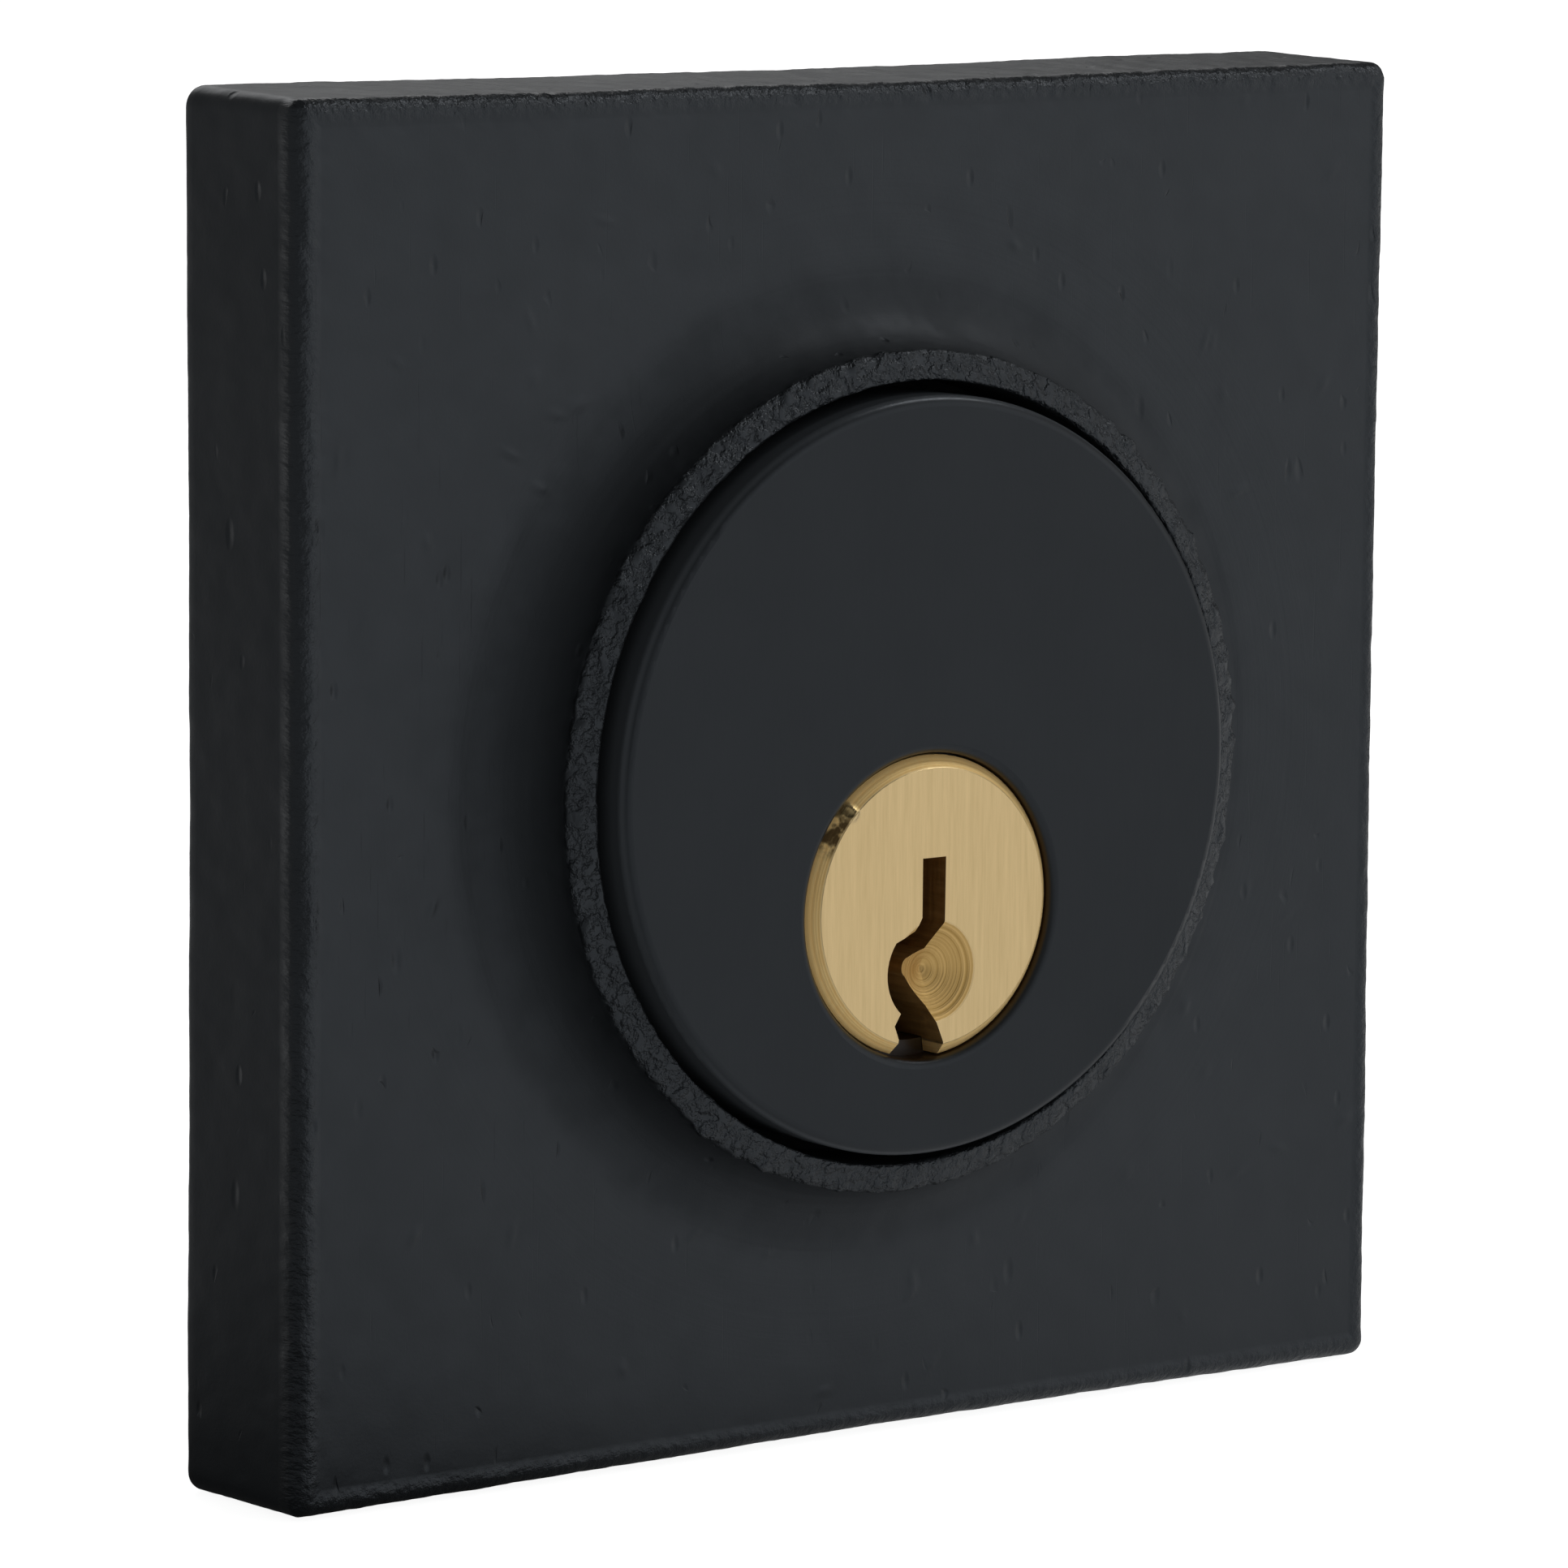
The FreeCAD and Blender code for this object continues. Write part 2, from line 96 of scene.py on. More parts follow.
class Graph:
    """Short names for the node types in use.  Lengths are millimetres, unless another unit is given."""

    def __init__(self, tree, unit=1 / MM, coordinate="Object"):
        self.nodes = tree.nodes
        self.links = tree.links
        start = self.nodes.new("ShaderNodeTexCoord").outputs[coordinate]
        self.place = self.stretch((unit, unit, unit), start)

    def link(self, a, b):
        self.links.new(a, b)

    def feed(self, value, socket):
        if isinstance(value, (int, float, tuple)):
            socket.default_value = value
        else:
            self.link(value, socket)

    def stretch(self, scale, vector=None, turn=(0, 0, 0)):
        node = self.nodes.new("ShaderNodeMapping")
        node.inputs["Scale"].default_value = scale
        node.inputs["Rotation"].default_value = turn
        self.link(self.place if vector is None else vector, node.inputs["Vector"])
        return node.outputs["Vector"]

    def axes(self):
        node = self.nodes.new("ShaderNodeSeparateXYZ")
        self.link(self.place, node.inputs["Vector"])
        return node.outputs

    def noise(self, scale, detail=3.0, roughness=0.55, vector=None):
        node = self.nodes.new("ShaderNodeTexNoise")
        node.inputs["Scale"].default_value = scale
        node.inputs["Detail"].default_value = detail
        node.inputs["Roughness"].default_value = roughness
        self.link(self.place if vector is None else vector, node.inputs["Vector"])
        return node.outputs["Fac"]

    def lines(self, value, scale, detail=3.0):
        """Noise that changes along one value only, as turned or brushed lines do."""
        node = self.nodes.new("ShaderNodeTexNoise")
        node.noise_dimensions = "1D"
        node.inputs["Scale"].default_value = scale
        node.inputs["Detail"].default_value = detail
        self.link(value, node.inputs["W"])
        return node.outputs["Fac"]

    def cells(self, scale, vector=None):
        node = self.nodes.new("ShaderNodeTexVoronoi")
        node.inputs["Scale"].default_value = scale
        self.link(self.place if vector is None else vector, node.inputs["Vector"])
        return node.outputs["Distance"]

    def math(self, kind, a, b=0.0):
        node = self.nodes.new("ShaderNodeMath")
        node.operation = kind
        self.feed(a, node.inputs[0])
        self.feed(b, node.inputs[1])
        return node.outputs["Value"]

    def span(self, value, low, high, to_low=0.0, to_high=1.0):
        """A soft step from one value to another, flat on both sides."""
        node = self.nodes.new("ShaderNodeMapRange")
        node.interpolation_type = "SMOOTHSTEP"
        node.inputs["From Min"].default_value = low
        node.inputs["From Max"].default_value = high
        node.inputs["To Min"].default_value = to_low
        node.inputs["To Max"].default_value = to_high
        self.link(value, node.inputs["Value"])
        return node.outputs["Result"]

    def reach(self, a, b, centre=(0.0, 0.0)):
        """The distance from an axis that runs along the part's third direction."""
        da = self.math("SUBTRACT", a, centre[0])
        db = self.math("SUBTRACT", b, centre[1])
        squares = self.math("ADD", self.math("MULTIPLY", da, da), self.math("MULTIPLY", db, db))
        return self.math("SQRT", squares)

    def ramp(self, value, stops):
        node = self.nodes.new("ShaderNodeValToRGB")
        ramp = node.color_ramp
        while len(ramp.elements) < len(stops):
            ramp.elements.new(0.5)
        for element, (at, colour) in zip(ramp.elements, stops):
            element.position = at
            element.color = (*colour, 1)
        self.link(value, node.inputs["Fac"])
        return node.outputs["Color"]

    def blend(self, share, a, b):
        """One colour or another, by a share from 0 to 1."""
        node = self.nodes.new("ShaderNodeMix")
        node.data_type = "RGBA"
        self.link(share, node.inputs[0])
        self.feed(a, node.inputs[6])
        self.feed(b, node.inputs[7])
        return node.outputs[2]

    def bump(self, height, distance, below=None):
        node = self.nodes.new("ShaderNodeBump")
        node.inputs["Distance"].default_value = distance * MM
        self.link(height, node.inputs["Height"])
        if below is not None:
            self.link(below, node.inputs["Normal"])
        return node.outputs["Normal"]


# ---------------------------------------------------------------- camera, lights and floor

CAMERA_AZIMUTH = math.radians(-37.37)
CAMERA_ELEVATION = math.radians(7.97)
CAMERA_ROLL = math.radians(0.49)
CAMERA_DISTANCE = 388.3 * MM
CAMERA_TARGET = Vector((-3.69, -7.6, -0.76)) * MM
CAMERA_LENS = 193.16
SENSOR_WIDTH = 36.0

WHITE = (1, 1, 1, 1)
FLOOR_HALF = 3.0
FLOOR_PALE = (0.85, 0.85, 0.85)
FLOOR_GLOW = 0.91

# how bright the room is everywhere, and its lobes: direction, where each starts and is full, strength
DIM = 0.035
FRONT_RIGHT = ((0.6, -0.8, 0.0), 0.35, 0.95, 0.62)
BACK_LEFT = ((-0.6, 0.8, 0.0), 0.3, 1.0, 0.15)
FLOOR_FRONT = ((0.6, -0.8, 0.0), 0.15, 0.85, 0.64)
FRONT_LEFT = ((-0.85, -0.5, 0.0), 0.2, 1.0, 0.22)
BACK_RIGHT = ((0.6, 0.8, 0.0), 0.3, 0.9, 0.40)

# name, place and size in metres, watts
SOFTBOXES = (
    ("front_right_softbox", (0.85, -1.0, 0.25), (1.0, 1.0), 0.9),
    ("overhead_softbox", (0.62, -0.15, 0.80), (0.20, 0.32), 1.4),
    ("back_softbox", (0.45, 1.1, 0.7), (0.9, 0.6), 2.0),
)


def camera_axes(azimuth, elevation, roll):
    """The camera's right, up and forward directions."""
    flat = math.cos(elevation)
    forward = Vector((-math.sin(azimuth) * flat, math.cos(azimuth) * flat, -math.sin(elevation)))
    right = forward.cross(Vector((0, 0, 1))).normalized()
    up = right.cross(forward)
    c, s = math.cos(roll), math.sin(roll)
    return right * c + up * s, up * c - right * s, forward


def add_camera():
    right, up, forward = camera_axes(CAMERA_AZIMUTH, CAMERA_ELEVATION, CAMERA_ROLL)
    data = bpy.data.cameras.new("camera")
    data.sensor_width = SENSOR_WIDTH
    data.lens = CAMERA_LENS
    data.clip_start = 0.01
    camera = bpy.data.objects.new("camera", data)
    place = Matrix((right, up, -forward)).transposed().to_4x4()
    place.translation = CAMERA_TARGET - forward * CAMERA_DISTANCE
    camera.matrix_world = place
    bpy.context.scene.collection.objects.link(camera)
    bpy.context.scene.camera = camera


def add_softbox(name, place, size, power):
    """A rectangular light that faces the object."""
    data = bpy.data.lights.new(name, "AREA")
    data.shape = "RECTANGLE"
    data.size, data.size_y = size
    data.energy = power
    light = bpy.data.objects.new(name, data)
    light.location = place
    light.rotation_euler = (-Vector(place)).to_track_quat("-Z", "Y").to_euler()
    light.visible_camera = False
    bpy.context.scene.collection.objects.link(light)


def glow(g, direction, lobes):
    """How bright the studio is in each direction: dim, with a few broad soft lobes."""
    unit = g.nodes.new("ShaderNodeVectorMath")
    unit.operation = "NORMALIZE"
    g.link(direction, unit.inputs[0])
    total = None
    for axis, low, high, strength in lobes:
        dot = g.nodes.new("ShaderNodeVectorMath")
        dot.operation = "DOT_PRODUCT"
        dot.inputs[1].default_value = axis
        g.link(unit.outputs["Vector"], dot.inputs[0])
        lobe = g.span(dot.outputs["Value"], low, high, 0.0, strength)
        total = g.math("ADD", lobe, DIM if total is None else total)
    return total


def split_by_ray(g, to_object, to_camera, surface):
    """One shader for the camera's own rays and another for the light that reaches the object."""
    mix = g.nodes.new("ShaderNodeMixShader")
    g.link(g.nodes.new("ShaderNodeLightPath").outputs["Is Camera Ray"], mix.inputs["Fac"])
    g.link(to_object, mix.inputs[1])
    g.link(to_camera, mix.inputs[2])
    g.link(mix.outputs["Shader"], surface)


def add_world():
    """A white backdrop for the camera, and a dim room with a bright front right for the object."""
    world = bpy.data.worlds.new("studio")
    world.use_nodes = True
    world.node_tree.nodes.clear()
    g = Graph(world.node_tree, 1.0, "Generated")
    out = g.nodes.new("ShaderNodeOutputWorld")
    seen = g.nodes.new("ShaderNodeBackground")
    seen.inputs["Color"].default_value = WHITE
    room = g.nodes.new("ShaderNodeBackground")
    room.inputs["Color"].default_value = WHITE
    g.link(glow(g, g.place, (FRONT_RIGHT, BACK_LEFT, FRONT_LEFT)), room.inputs["Strength"])
    split_by_ray(g, room.outputs["Background"], seen.outputs["Background"], out.inputs["Surface"])
    bpy.context.scene.world = world


def add_floor():
    """A plain pale floor, with the room's lobes spread round the rose's front left foot."""
    low = cad_box[0][2]
    half = FLOOR_HALF
    corners = [(-half, -half), (half, -half), (half, half), (-half, half)]
    mesh = bpy.data.meshes.new("floor")
    mesh.from_pydata([(x, y, low) for x, y in corners], [], [(0, 1, 2, 3)])
    floor = bpy.data.objects.new("floor", mesh)
    material, pale = new_material("floor_white", FLOOR_PALE, 0.8)
    pale.inputs["Emission Color"].default_value = WHITE
    pale.inputs["Emission Strength"].default_value = FLOOR_GLOW
    g = Graph(material.node_tree, 1.0)
    glowing = g.nodes.new("ShaderNodeEmission")
    glowing.inputs["Color"].default_value = WHITE
    foot = g.nodes.new("ShaderNodeVectorMath")
    foot.operation = "SUBTRACT"
    foot.inputs[1].default_value = (cad_box[0][0], FACE_Y * MM, 0.0)
    g.link(g.place, foot.inputs[0])
    lobes = (FLOOR_FRONT, BACK_LEFT, FRONT_LEFT, BACK_RIGHT)
    g.link(glow(g, foot.outputs["Vector"], lobes), glowing.inputs["Strength"])
    surface = g.nodes["Material Output"].inputs["Surface"]
    split_by_ray(g, glowing.outputs["Emission"], pale.outputs["BSDF"], surface)
    mesh.materials.append(material)
    bpy.context.scene.collection.objects.link(floor)


# ---------------------------------------------------------------- materials

BLACK_LOW = (0.0135, 0.0152, 0.0168)
BLACK_HIGH = (0.0180, 0.0200, 0.0220)
PAINT_TINT = (0.80, 0.89, 1.0, 1.0)
# a paler grey for the head's side wall: painted light, standing in for light falling on the wall
PAINTED_LIT_SIDE = (0.052, 0.058, 0.064, 1.0)
# very dark brown for the plug's bore: bare brass, darkened by painted shade in the recess
BORE_BRASS_IN_SHADE = (0.030, 0.017, 0.007, 1.0)
SMUDGE_BROWN = (0.16, 0.105, 0.045, 1.0)
HEAD_R = 17.55
PLUG_HOLE_R = 7.1
PLUG_FLAT_R = 6.45
PLUG_Z = -6.0
PLUG_FACE_Y = -14.1
DIMPLE = (0.1, -9.0)
DIMPLE_R, DIMPLE_DEPTH = 2.4, 1.1
SMUDGE = (-5.5, -2.1)
GLINT = (-4.75, -1.25)

# where each kind of surface on the rose starts and is full: outward from the axis, then by depth
EDGE_OUT, EDGE_DEPTH = (30.3, 31.0), (-7.3, -8.2)
FLARE_OUT, FLARE_DEPTH = (24.0, 22.0), (-12.4, -11.6)
RIM_OUT, RIM_DEPTH = (20.2, 19.9), (-12.1, -12.35)
SWIRL_OUT = (31.5, 25.5)

# depths of the bumps, in millimetres
HAMMERED, SWIRLED, GRAINED, CHATTERED, NICKED, SCRATCHED = 0.05, 0.008, 0.008, 0.17, 0.07, 0.006
RIM_PITS = 0.12

# fields of small nicks: how the field is turned, its scale per millimetre, and how rare the nicks are
NICK_FIELDS = (
    ((0, 0.5, 0), (0.75, 0.75, 0.36), 0.56),
    ((0, -0.9, 0.2), (0.55, 0.55, 0.24), 0.60),
)
SCRATCH_TURNS = ((0, 0.62, 0), (0, -0.25, 0))


def edge_share(g, across, up, depth):
    """Where the rose's front edge is: 1 on the rounding, 0 on the face and the sides."""
    outer = g.math("MAXIMUM", g.math("ABSOLUTE", across), g.math("ABSOLUTE", up))
    return g.math("MULTIPLY", g.span(outer, *EDGE_OUT), g.span(depth, *EDGE_DEPTH))


def cast_black():
    """Satin black over a hand-worked casting: chattered edges, nicks, scratches and polishing swirls."""
    material, shader = new_material("cast_black", BLACK_HIGH, 0.38)
    shader.inputs["Specular Tint"].default_value = PAINT_TINT
    shader.inputs["Specular IOR Level"].default_value = 0.45
    g = Graph(material.node_tree)
    across, depth, up = g.axes()
    g.link(g.ramp(g.noise(0.12, 4), [(0.3, BLACK_LOW), (0.7, BLACK_HIGH)]), shader.inputs["Base Color"])
    radius = g.reach(across, up)
    flare = g.math("MULTIPLY", g.span(radius, *FLARE_OUT), g.span(depth, *FLARE_DEPTH))
    rim = g.math("MULTIPLY", g.span(radius, *RIM_OUT), g.span(depth, *RIM_DEPTH))
    rough = g.math("ADD", g.span(g.noise(0.45, 4), 0.3, 0.7, 0.34, 0.44), g.math("MULTIPLY", flare, 0.2))
    g.link(rough, shader.inputs["Roughness"])
    normal = g.bump(g.noise(0.30, 2), HAMMERED)
    swirls = g.math("MULTIPLY", g.lines(radius, 3.5), g.span(radius, *SWIRL_OUT))
    normal = g.bump(swirls, SWIRLED, normal)
    normal = g.bump(g.noise(4.5, 4, 0.6), GRAINED, normal)
    streaks = g.noise(1.0, 3, 0.6, g.stretch((2.6, 0.7, 2.6)))
    normal = g.bump(g.math("MULTIPLY", streaks, edge_share(g, across, up, depth)), CHATTERED, normal)
    pits = g.math("MULTIPLY", g.span(g.noise(1.5, 3, 0.6), 0.38, 0.62), rim)
    normal = g.bump(pits, RIM_PITS, normal)
    for turn, size, cut in NICK_FIELDS:
        turned = g.stretch(size, None, turn)
        dents = g.span(g.cells(1.0, turned), 0.0, 0.20)
        rare = g.span(g.noise(0.9, 0, 0.5, turned), cut, cut + 0.04, 0.0, 1.0)
        normal = g.bump(g.math("MAXIMUM", dents, g.math("SUBTRACT", 1.0, rare)), NICKED, normal)
    for turn in SCRATCH_TURNS:
        drawn = g.noise(1.0, 2, 0.5, g.stretch((7.0, 0.3, 0.16), None, turn))
        normal = g.bump(g.span(drawn, 0.70, 0.78, 1.0, 0.0), SCRATCHED, normal)
    g.link(normal, shader.inputs["Normal"])
    return material


def satin_black():
    """Satin black paint on the cylinder: paler on the head's side wall as painted light, and dark brown in
    the plug's bore, bare brass with painted shade.
    """
    material, shader = new_material("satin_black", BLACK_LOW, 0.36)
    shader.inputs["Specular Tint"].default_value = PAINT_TINT
    shader.inputs["Specular IOR Level"].default_value = 0.33
    g = Graph(material.node_tree)
    across, _, up = g.axes()
    tone = g.ramp(g.noise(0.2, 4), [(0.3, (0.0100, 0.0114, 0.0128)), (0.7, (0.0125, 0.0142, 0.0158))])
    # the head's side wall, which gets the paler grey of painted light
    side = g.span(g.reach(across, up), HEAD_R - 0.25, HEAD_R - 0.05)
    # the bore round the plug, painted dark: bare brass with painted shade
    bore = g.span(g.reach(across, up, (0.0, PLUG_Z)), PLUG_HOLE_R + 0.12, PLUG_HOLE_R + 0.02)
    g.link(g.blend(bore, g.blend(side, tone, PAINTED_LIT_SIDE), BORE_BRASS_IN_SHADE), shader.inputs["Base Color"])
    brushed = g.noise(1.0, 3, 0.6, g.stretch((2.4, 2.4, 0.4)))
    g.link(g.span(brushed, 0.3, 0.7, 0.28, 0.35), shader.inputs["Roughness"])
    normal = g.bump(brushed, 0.006)
    g.link(g.bump(g.noise(7.0, 3), 0.0035, normal), shader.inputs["Normal"])
    return material


def plug_brass():
    """The plug's brass: upright brush lines, a turned bevel and dimple, and sawn slot walls in a deeper
    brown that is partly painted shade and bounced light.
    """
    material, shader = new_material("plug_brass", (0.62, 0.44, 0.2), 0.40, 1.0)
    g = Graph(material.node_tree)
    across, depth, up = g.axes()
    inward = g.math("SUBTRACT", depth, PLUG_FACE_Y)
    axis_r = g.reach(across, up, (0.0, PLUG_Z))
    dimple_r = g.reach(across, up, DIMPLE)
    cone = g.math("MULTIPLY", g.math("SUBTRACT", 1.0, g.math("DIVIDE", dimple_r, DIMPLE_R)), DIMPLE_DEPTH)
    under = g.math("SUBTRACT", inward, g.math("MAXIMUM", cone, 0.0))
    inside = g.span(axis_r, PLUG_FLAT_R - 0.01, PLUG_FLAT_R - 0.07)
    wall = g.math("MULTIPLY", g.span(under, 0.04, 0.10), inside)
    below_face = g.span(inward, 0.015, 0.04)
    in_dimple = g.math("MULTIPLY", below_face, g.span(dimple_r, DIMPLE_R + 0.05, DIMPLE_R - 0.02))
    bevel = g.span(axis_r, PLUG_FLAT_R + 0.01, PLUG_FLAT_R + 0.07)

    brush = g.noise(1.0, 4, 0.65, g.stretch((5.5, 5.5, 0.28)))
    turned = g.lines(dimple_r, 7.0, 4)
    rolled = g.lines(axis_r, 6.0, 4)
    tone = g.ramp(brush, [(0.25, (0.66, 0.490, 0.245)), (0.75, (0.80, 0.61, 0.325))])
    dimple_tone = g.ramp(turned, [(0.3, (0.44, 0.280, 0.092)), (0.7, (0.65, 0.435, 0.170))])
    bevel_tone = g.ramp(rolled, [(0.3, (0.92, 0.67, 0.30)), (0.7, (1.00, 0.79, 0.40))])
    near_smudge = g.span(g.reach(across, up, SMUDGE), 1.5, 0.6)
    smudge = g.math("MULTIPLY", near_smudge, g.span(g.noise(1.4, 3), 0.38, 0.55))
    bevel_tone = g.blend(smudge, bevel_tone, SMUDGE_BROWN)
    tone = g.blend(bevel, tone, bevel_tone)
    tone = g.blend(in_dimple, tone, dimple_tone)
    sawn = g.noise(1.0, 3, 0.6, g.stretch((3.0, 0.4, 3.0)))
    # the sawn slot walls' deeper, darker brown: brass tone with painted shade and painted bounced light from
    # inside the slot
    slot_wall_tone_and_shade = g.ramp(sawn, [(0.3, (0.40, 0.235, 0.08)), (0.7, (0.62, 0.39, 0.15))])
    g.link(g.blend(wall, tone, slot_wall_tone_and_shade), shader.inputs["Base Color"])

    glint = g.span(g.reach(across, up, GLINT), 0.55, 0.2)
    rough = g.math("ADD", g.span(brush, 0.3, 0.7, 0.34, 0.46), g.math("MULTIPLY", wall, 0.2))
    rough = g.math("ADD", rough, g.math("MULTIPLY", bevel, 0.3))
    g.link(g.math("SUBTRACT", rough, g.math("MULTIPLY", glint, 0.55)), shader.inputs["Roughness"])
    normal = g.bump(brush, 0.006)
    normal = g.bump(g.math("MULTIPLY", turned, in_dimple), 0.03, normal)
    normal = g.bump(g.math("MULTIPLY", rolled, bevel), 0.02, normal)
    normal = g.bump(g.math("MULTIPLY", g.noise(1.3, 1), glint), 0.22, normal)
    g.link(normal, shader.inputs["Normal"])
    return material


def metal(name, low, high, roughness, grain_scale):
    """A plain metal with a fine grain and uneven tone."""
    material, shader = new_material(name, low, roughness, 1.0)
    g = Graph(material.node_tree)
    grain = g.noise(grain_scale, 4)
    g.link(g.ramp(grain, [(0.3, low), (0.7, high)]), shader.inputs["Base Color"])
    g.link(g.span(grain, 0.3, 0.7, roughness - 0.06, roughness + 0.08), shader.inputs["Roughness"])
    g.link(g.bump(g.noise(grain_scale * 3, 3), 0.006), shader.inputs["Normal"])
    return material


MATERIALS = {
    "black_cast": cast_black(),
    "black_satin": satin_black(),
    "plug_brass": plug_brass(),
    "brass": metal("turned_brass", (0.60, 0.44, 0.20), (0.72, 0.55, 0.28), 0.30, 0.9),
    "zinc_steel": metal("zinc_plate", (0.50, 0.50, 0.49), (0.66, 0.66, 0.67), 0.38, 0.5),
    "spring_steel": metal("spring_steel", (0.42, 0.42, 0.43), (0.56, 0.56, 0.57), 0.30, 1.2),
}

for part in frame["record"]["subparts"]:
    data = NODES[part["node"]].data
    data.materials.clear()
    data.materials.append(MATERIALS[part["material_slot"]])

# ---------------------------------------------------------------- the cast rose

SIDE_STEPS = 270
ROSE_SEED = Vector((3.7, 11.3, 5.9))
NICK_SEED = 41
NICKS = 70

# how many rings each stretch of the skin has
BORE_RINGS, FLARE_RINGS, FACE_RINGS, EDGE_RINGS = 6, 26, 76, 9
SIDE_RINGS, BACK_RINGS, FLOOR_RINGS = 18, 4, 8
UNWORN_FROM_Y = -12
ROUGH_SIDE_FROM = 30

# across the rim from the bore: how far out, the shift in depth from the rim's own, and how worn
RIM_STEPS = (
    (0.03, -0.10, 0.4),
    (0.12, -0.15, 0.45),
    (0.35, -0.15, 0.5),
    (0.60, -0.15, 0.6),
    (0.85, -0.15, 0.8),
    (1.02, -0.15, 1.0),
    (1.18, -0.13, 1.1),
    (1.29, -0.09, 1.1),
    (1.35, -0.02, 0.9),
)
RIM_SLOPE = 0.38


def side_places():
    """Directions round the rose, evenly spread along its four sides, with how far each is along a side."""
    angles, along = [], []
    for side in range(4):
        for step in range(SIDE_STEPS):
            t = -1 + 2 * step / SIDE_STEPS
            angles.append(side * math.pi / 2 + math.atan(t))
            along.append(t)
    return np.array(angles), np.array(along)


ANGLES, ALONG = side_places()


def square_reach(half, corner):
    """How far a round-cornered square's slightly hollow outline lies from its centre, in each direction."""
    c, s = np.abs(np.cos(ANGLES)), np.abs(np.sin(ANGLES))
    straight = half / np.maximum(c, s)
    centre = half - corner
    along = centre * (c + s)
    rounded = along + np.sqrt(np.maximum(along * along - 2 * centre * centre + corner * corner, 0))
    reach = np.where(np.minimum(c, s) * straight <= centre, straight, rounded)
    return reach - BOW * (1 - ALONG**2)


def quarter(count):
    """Angles over a quarter turn, as radians, without the first."""
    return [math.pi / 2 * i / count for i in range(1, count + 1)]


def rose_rings():
    """Rings round the rose's whole skin: (reach by direction, depth, kind of wear, amount of wear)."""
    rings = []

    def circle(radius, y, kind="plain", wear=0.0):
        rings.append((np.full(len(ANGLES), radius), y, kind, wear))

    def square(half, y, corner, kind="plain", wear=0.0):
        rings.append((square_reach(half, corner), y, kind, wear))

    for i in range(BORE_RINGS + 1):
        y = SEAT_Y + (RIM_Y + 0.15 - SEAT_Y) * i / BORE_RINGS
        circle(BORE_R, y, "rim", 0.25 if i > 4 else 0.0)
    for step, drop, wear in RIM_STEPS:
        circle(BORE_R + step, RIM_Y + drop + RIM_SLOPE * step, "rim", wear)
    circle(RIM_R + 0.02, FACE_Y - FLARE_R, "rim", 0.45)
    for a in quarter(FLARE_RINGS):
        fade = max(0.0, 1 - math.degrees(a) / 35)
        circle(RIM_R + FLARE_R * (1 - math.cos(a)), FACE_Y - FLARE_R * (1 - math.sin(a)), "rim", 0.3 * fade)
    flat = square_reach(FRONT_HALF - EDGE_R, FRONT_CORNER_R * 0.4)
    for i in range(1, FACE_RINGS + 1):
        t = i / FACE_RINGS
        reach = (RIM_R + FLARE_R) * (1 - t) + flat * t
        rings.append((reach, FACE_Y, "face", 0.5 * max(0.0, (t - 0.9) / 0.1)))
    for a in quarter(EDGE_RINGS):
        half = FRONT_HALF - EDGE_R * (1 - math.sin(a))
        corner = FRONT_CORNER_R * (0.4 + 0.6 * math.sin(a))
        square(half, FACE_Y + EDGE_R * (1 - math.cos(a)), corner, "edge", 1.0 - 0.5 * math.sin(a))
    top = FACE_Y + EDGE_R
    for i in range(1, SIDE_RINGS + 1):
        t = i / SIDE_RINGS
        corner = FRONT_CORNER_R + (BACK_CORNER_R - FRONT_CORNER_R) * t
        square(FRONT_HALF + TAPER * t, top + (-BACK_EDGE_R - top) * t, corner, "edge", 0.25)
    for a in quarter(BACK_RINGS):
        half = BACK_HALF - BACK_EDGE_R * (1 - math.cos(a))
        square(half, BACK_EDGE_R * (math.sin(a) - 1), BACK_CORNER_R, "edge", 0.15)
    square(POCKET_HALF + 1, 0, BACK_CORNER_R)
    for y in (0, -2.0, -4.0, POCKET_Y):
        square(POCKET_HALF, y, BACK_CORNER_R)
    pocket = square_reach(POCKET_HALF, BACK_CORNER_R)
    for i in range(1, FLOOR_RINGS + 1):
        t = i / FLOOR_RINGS
        rings.append((pocket * (1 - t) + SEAT_R * t, POCKET_Y, "plain", 0.0))
    for radius, y in ((SEAT_R, SEAT_MID_Y), (SEAT_R, SEAT_Y), (SEAT_MID_R, SEAT_Y)):
        circle(radius, y)
    return rings


def ring_mesh(name, grid):
    """A closed skin from a grid of points: rings by angle, joined last to first both ways."""
    rings, count = grid.shape[:2]
    i = np.arange(rings)[:, None]
    j = np.arange(count)[None, :]
    i1, j1 = (i + 1) % rings, (j + 1) % count
    quads = np.stack([i * count + j, i1 * count + j, i1 * count + j1, i * count + j1], -1).reshape(-1, 4)
    mesh = bpy.data.meshes.new(name)
    mesh.from_pydata(grid.reshape(-1, 3).tolist(), [], quads.tolist())
    mesh.update()
    return mesh


def add_piece(name, mesh, slot, body):
    """A smooth-shaded piece that rides a body and has its slot's material."""
    for polygon in mesh.polygons:
        polygon.use_smooth = True
    mesh.materials.append(MATERIALS[slot])
    piece = bpy.data.objects.new(name, mesh)
    bpy.context.scene.collection.objects.link(piece)
    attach(piece, body)
    return piece


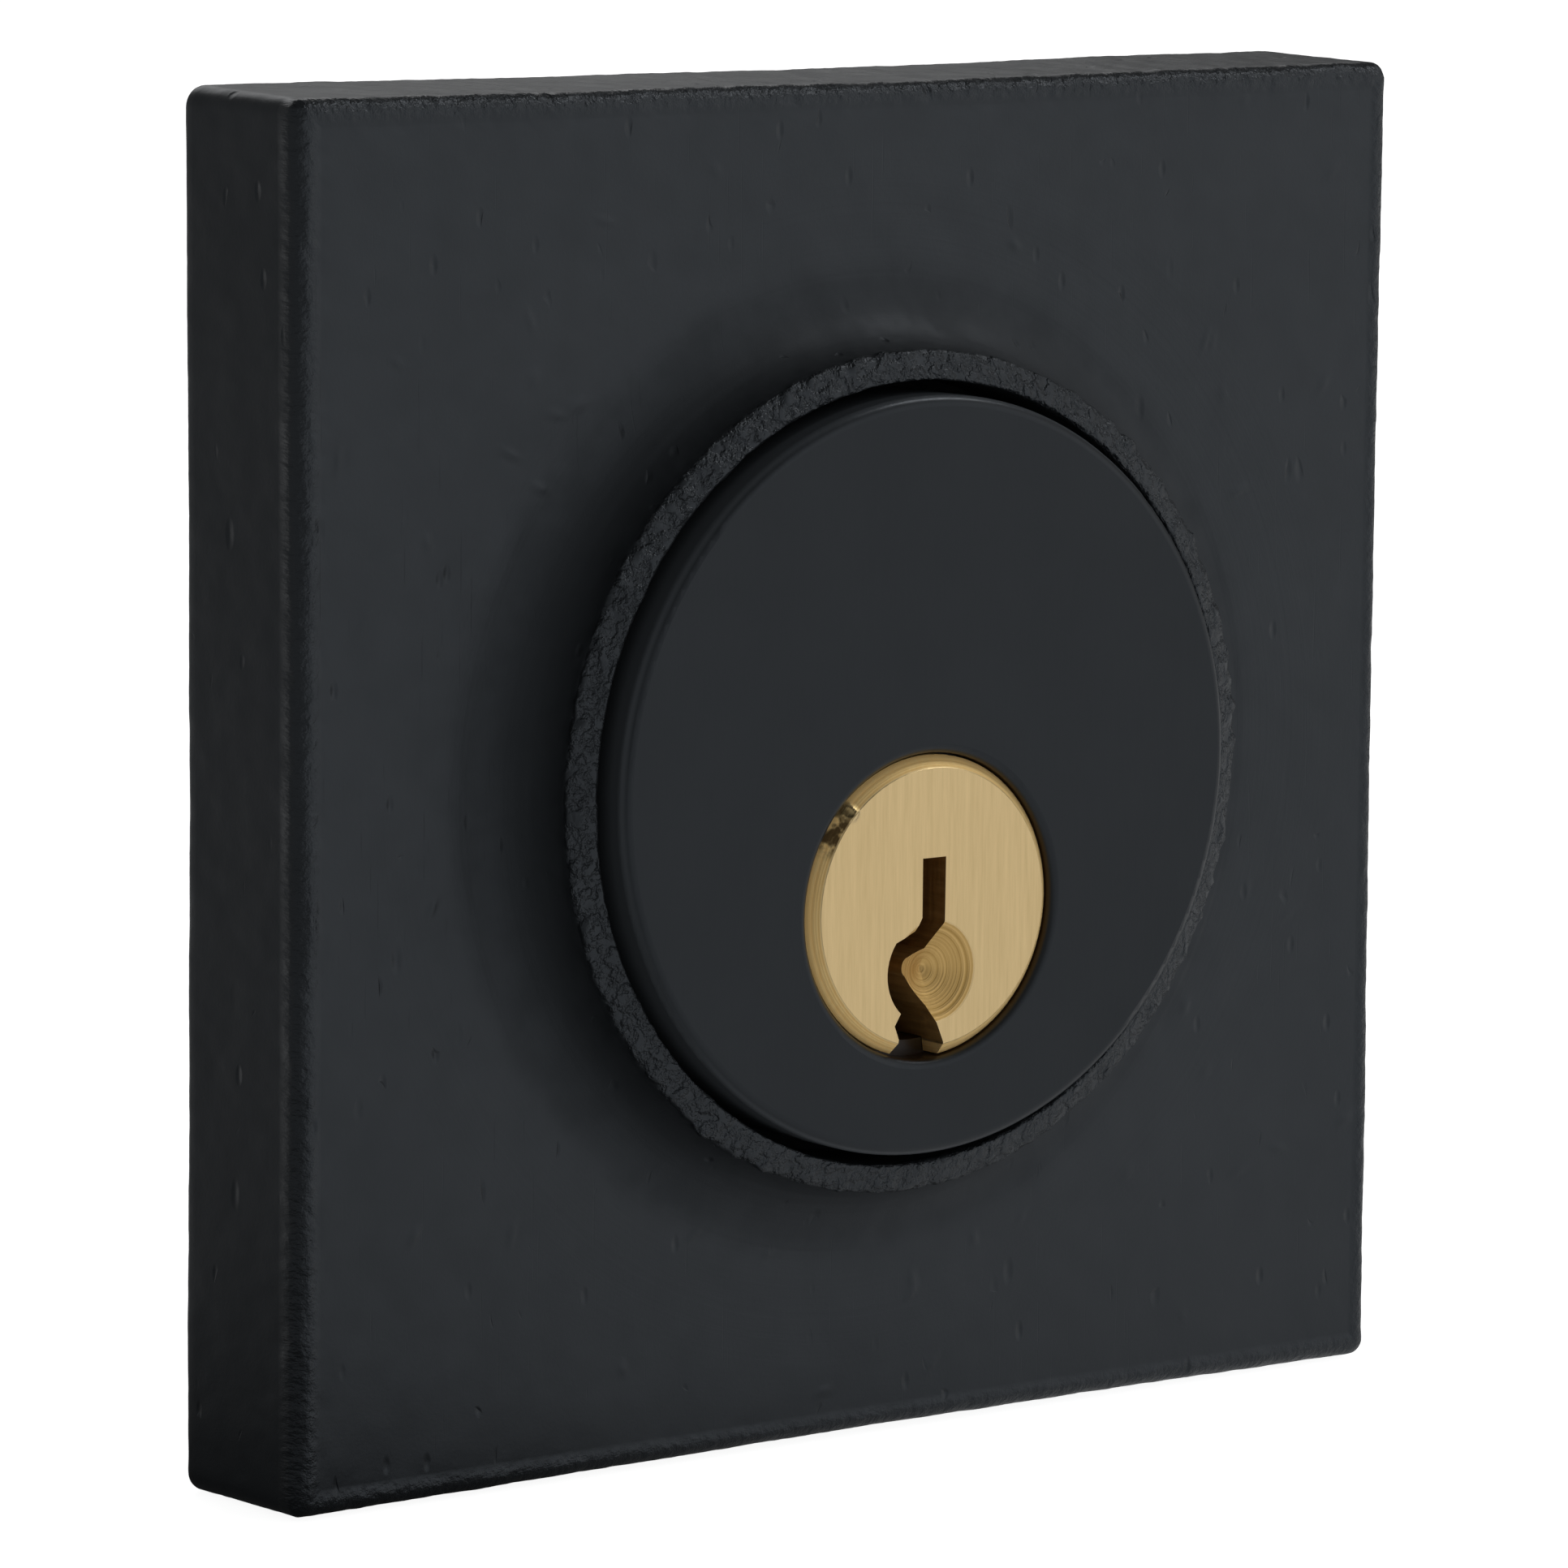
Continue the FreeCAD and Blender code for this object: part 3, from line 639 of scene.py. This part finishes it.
def worn(place, kind, wear):
    """How far the hand-worked surface stands off the true one at a point, in millimetres."""
    p = Vector(place)
    off = noise.noise(p * 0.11 + ROSE_SEED) * 0.06 + noise.noise(p * 0.55 + ROSE_SEED * 2) * 0.02
    if kind == "rim" and wear:
        chip = max(0.0, noise.noise(p * 1.1 + ROSE_SEED * 5) - 0.12)
        ragged = noise.noise(p * 1.4 + ROSE_SEED * 3) * 0.09 + noise.noise(p * 3.1 + ROSE_SEED) * 0.035
        off += wear * (ragged - chip * 0.30)
    elif wear:
        rough_side = 1.0 if p.x < -ROUGH_SIDE_FROM or p.z > ROUGH_SIDE_FROM else 0.5
        chatter = noise.noise(p * 0.9 + ROSE_SEED * 3) + 0.8 * noise.noise(p * 2.2 + ROSE_SEED)
        off += wear * rough_side * chatter * 0.085
    return off


def nicks(across, up):
    """Depth of the small elongated dents scattered over the rose's face."""
    rng = np.random.default_rng(NICK_SEED)
    depth = np.zeros_like(across)
    for _ in range(NICKS):
        x, z = rng.uniform(-30.5, 30.5, 2)
        turn = rng.normal(0.9, 0.7)
        long, wide = rng.uniform(0.22, 0.55), rng.uniform(0.13, 0.2)
        deep = rng.uniform(0.03, 0.085)
        u = (across - x) * math.cos(turn) + (up - z) * math.sin(turn)
        v = (up - z) * math.cos(turn) - (across - x) * math.sin(turn)
        depth += deep * np.exp(-(u / long) ** 2 - (v / wide) ** 2)
        depth -= 0.25 * deep * np.exp(-(u / long) ** 2 - ((v + 2 * wide) / wide) ** 2)
    return depth


def cast_rose():
    """The rose's skin: true rings, each point then pushed along its normal by the hand-worked unevenness."""
    rings = rose_rings()
    reach = np.array([r[0] for r in rings])
    depth = np.repeat(np.array([r[1] for r in rings])[:, None], len(ANGLES), 1)
    grid = np.stack([reach * np.cos(ANGLES), depth, reach * np.sin(ANGLES)], -1)
    around = np.roll(grid, -1, 1) - np.roll(grid, 1, 1)
    across = np.roll(grid, -1, 0) - np.roll(grid, 1, 0)
    normal = np.cross(around, across)
    normal /= np.linalg.norm(normal, axis=2, keepdims=True)
    for i, (_, _, kind, wear) in enumerate(rings):
        smooth_bore = kind == "rim" and not wear and rings[i][1] >= UNWORN_FROM_Y
        if kind == "plain" or smooth_bore:
            continue
        off = np.array([worn(place, kind, wear) for place in grid[i]])
        if kind == "face":
            off = off - nicks(grid[i, :, 0], grid[i, :, 2])
        grid[i] += normal[i] * off[:, None]
    piece = add_piece("rose_cast", ring_mesh("rose_cast", grid * MM), "black_cast", "housing")
    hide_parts("rose")


def screw_boss(name, up):
    """A plain round boss behind the rose's face that a mounting screw runs into."""
    turn = np.linspace(0, 2 * math.pi, BOSS_SIDES, endpoint=False)
    depths = (BOSS_ROOT_Y, BOSS_END_Y, BOSS_END_Y, BOSS_ROOT_Y)
    grid = []
    for r, y in zip((BOSS_HOLE_R, BOSS_HOLE_R, BOSS_R, BOSS_R), depths):
        grid.append(np.stack([r * np.cos(turn), np.full(BOSS_SIDES, y), up + r * np.sin(turn)], -1))
    add_piece(name, ring_mesh(name, np.array(grid) * MM), "black_cast", "housing")


cast_rose()
screw_boss("rose_boss_upper", BOSS_Z)
screw_boss("rose_boss_lower", -BOSS_Z)

# ---------------------------------------------------------------- stage and finish

bpy.context.scene.view_settings.view_transform = "Standard"
add_camera()
add_world()
add_floor()
for softbox in SOFTBOXES:
    add_softbox(*softbox)
